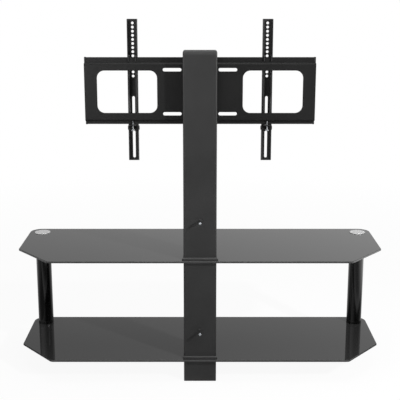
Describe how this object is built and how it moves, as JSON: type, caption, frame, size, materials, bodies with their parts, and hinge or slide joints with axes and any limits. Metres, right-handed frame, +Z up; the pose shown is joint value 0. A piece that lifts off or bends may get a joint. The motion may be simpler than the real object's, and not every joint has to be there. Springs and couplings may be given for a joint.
{
  "type": "tv stand with mount",
  "caption": "Floor stand for a television: rear column with a slotted mount plate and two tilting hook-on arms, over tinted glass shelves on round front legs.",
  "frame": {"origin": "on the floor, at the centre of the stand's outline seen from above", "axes": "+Z up; the screen faces -Y, so the column's back and its cable pegs face +Y; left is -X for someone who watches the screen"},
  "size_m": [1.143, 0.393, 1.1082],
  "materials": {
    "tinted_glass": "black tempered glass, polished faces and ground edges",
    "column_black_steel": "satin black powder coat",
    "mount_black_steel": "fine textured black powder coat",
    "arm_black_steel": "satin black powder coat",
    "gloss_black_steel": "gloss black paint",
    "black_bolts": "blackened steel",
    "satin_silver": "satin silver",
    "zinc_steel": "bright zinc plate",
    "black_plastic": "black moulded plastic",
    "black_rubber": "black rubber"
  },
  "bodies": {
    "stand": {"bottom_lip_caps": "black_rubber", "column_base_plate": "zinc_steel", "column_clamp_plate": "zinc_steel", "column_foot_plug": "black_plastic", "column_gaskets": "black_rubber", "column_rod_nuts": "zinc_steel", "column_rod_washers": "zinc_steel", "column_tie_rods": "zinc_steel", "column_top_cap": "black_plastic", "left_foot_insert": "black_plastic", "left_leg_cap": "satin_silver", "left_leg_collar": "black_plastic", "left_leg_tie_rod": "zinc_steel", "left_lower_leg_tube": "gloss_black_steel", "left_upper_leg_tube": "gloss_black_steel", "leg_centring_discs": "black_plastic", "leg_gaskets": "black_rubber", "lower_cable_peg": "column_black_steel", "lower_column_collar": "black_plastic", "lower_column_tube": "column_black_steel", "lower_peg_tip": "zinc_steel", "lower_shelf_glass": "tinted_glass", "middle_column_tube": "column_black_steel", "mount_plate": "mount_black_steel", "peg_rivet_nuts": "zinc_steel", "plate_bolts": "black_bolts", "plate_rivet_nuts": "zinc_steel", "plate_washers": "black_bolts", "right_foot_insert": "black_plastic", "right_leg_cap": "satin_silver", "right_leg_collar": "black_plastic", "right_leg_tie_rod": "zinc_steel", "right_lower_leg_tube": "gloss_black_steel", "right_upper_leg_tube": "gloss_black_steel", "top_lip_caps": "black_rubber", "upper_cable_peg": "column_black_steel", "upper_column_collar": "black_plastic", "upper_column_tube": "column_black_steel", "upper_peg_tip": "zinc_steel", "upper_shelf_glass": "tinted_glass"},
    "left_foot": {"left_foot_pad": "black_plastic", "left_foot_stud": "zinc_steel"},
    "left_bracket": {"left_hook_bracket": "arm_black_steel", "left_pivot_bolt": "black_bolts", "left_pivot_nut": "black_bolts", "left_friction_washers": "black_plastic"},
    "left_arm": {"left_arm_rail": "arm_black_steel", "left_tilt_lock_bolt": "black_bolts", "left_tilt_lock_nut": "black_bolts"},
    "left_lock": {"left_lock_screw": "zinc_steel"},
    "right_foot": {"right_foot_pad": "black_plastic", "right_foot_stud": "zinc_steel"},
    "right_bracket": {"right_hook_bracket": "arm_black_steel", "right_pivot_bolt": "black_bolts", "right_pivot_nut": "black_bolts", "right_friction_washers": "black_plastic"},
    "right_arm": {"right_arm_rail": "arm_black_steel", "right_tilt_lock_bolt": "black_bolts", "right_tilt_lock_nut": "black_bolts"},
    "right_lock": {"right_lock_screw": "zinc_steel"}
  },
  "joints": [
    {"name": "left_arm_slide", "type": "slide", "parent": "stand", "child": "left_bracket", "axis": [-1, 0, 0], "range_m": [-0.15, 0.1]},
    {"name": "left_arm_tilt", "type": "hinge", "parent": "left_bracket", "child": "left_arm", "pos_m": [-0.2, 0.07285, 0.786], "axis": [1, 0, 0], "range_deg": [0, 12]},
    {"name": "left_lock_screw_travel", "type": "slide", "parent": "left_bracket", "child": "left_lock", "axis": [0, 0, -1], "range_m": [0, 0.0102]},
    {"name": "left_foot_levelling", "type": "slide", "parent": "stand", "child": "left_foot", "axis": [0, 0, -1], "range_m": [0, 0.01]},
    {"name": "right_arm_slide", "type": "slide", "parent": "stand", "child": "right_bracket", "axis": [1, 0, 0], "range_m": [-0.15, 0.1]},
    {"name": "right_arm_tilt", "type": "hinge", "parent": "right_bracket", "child": "right_arm", "pos_m": [0.2, 0.07285, 0.786], "axis": [1, 0, 0], "range_deg": [0, 12]},
    {"name": "right_lock_screw_travel", "type": "slide", "parent": "right_bracket", "child": "right_lock", "axis": [0, 0, -1], "range_m": [0, 0.0102]},
    {"name": "right_foot_levelling", "type": "slide", "parent": "stand", "child": "right_foot", "axis": [0, 0, -1], "range_m": [0, 0.01]}
  ]
}
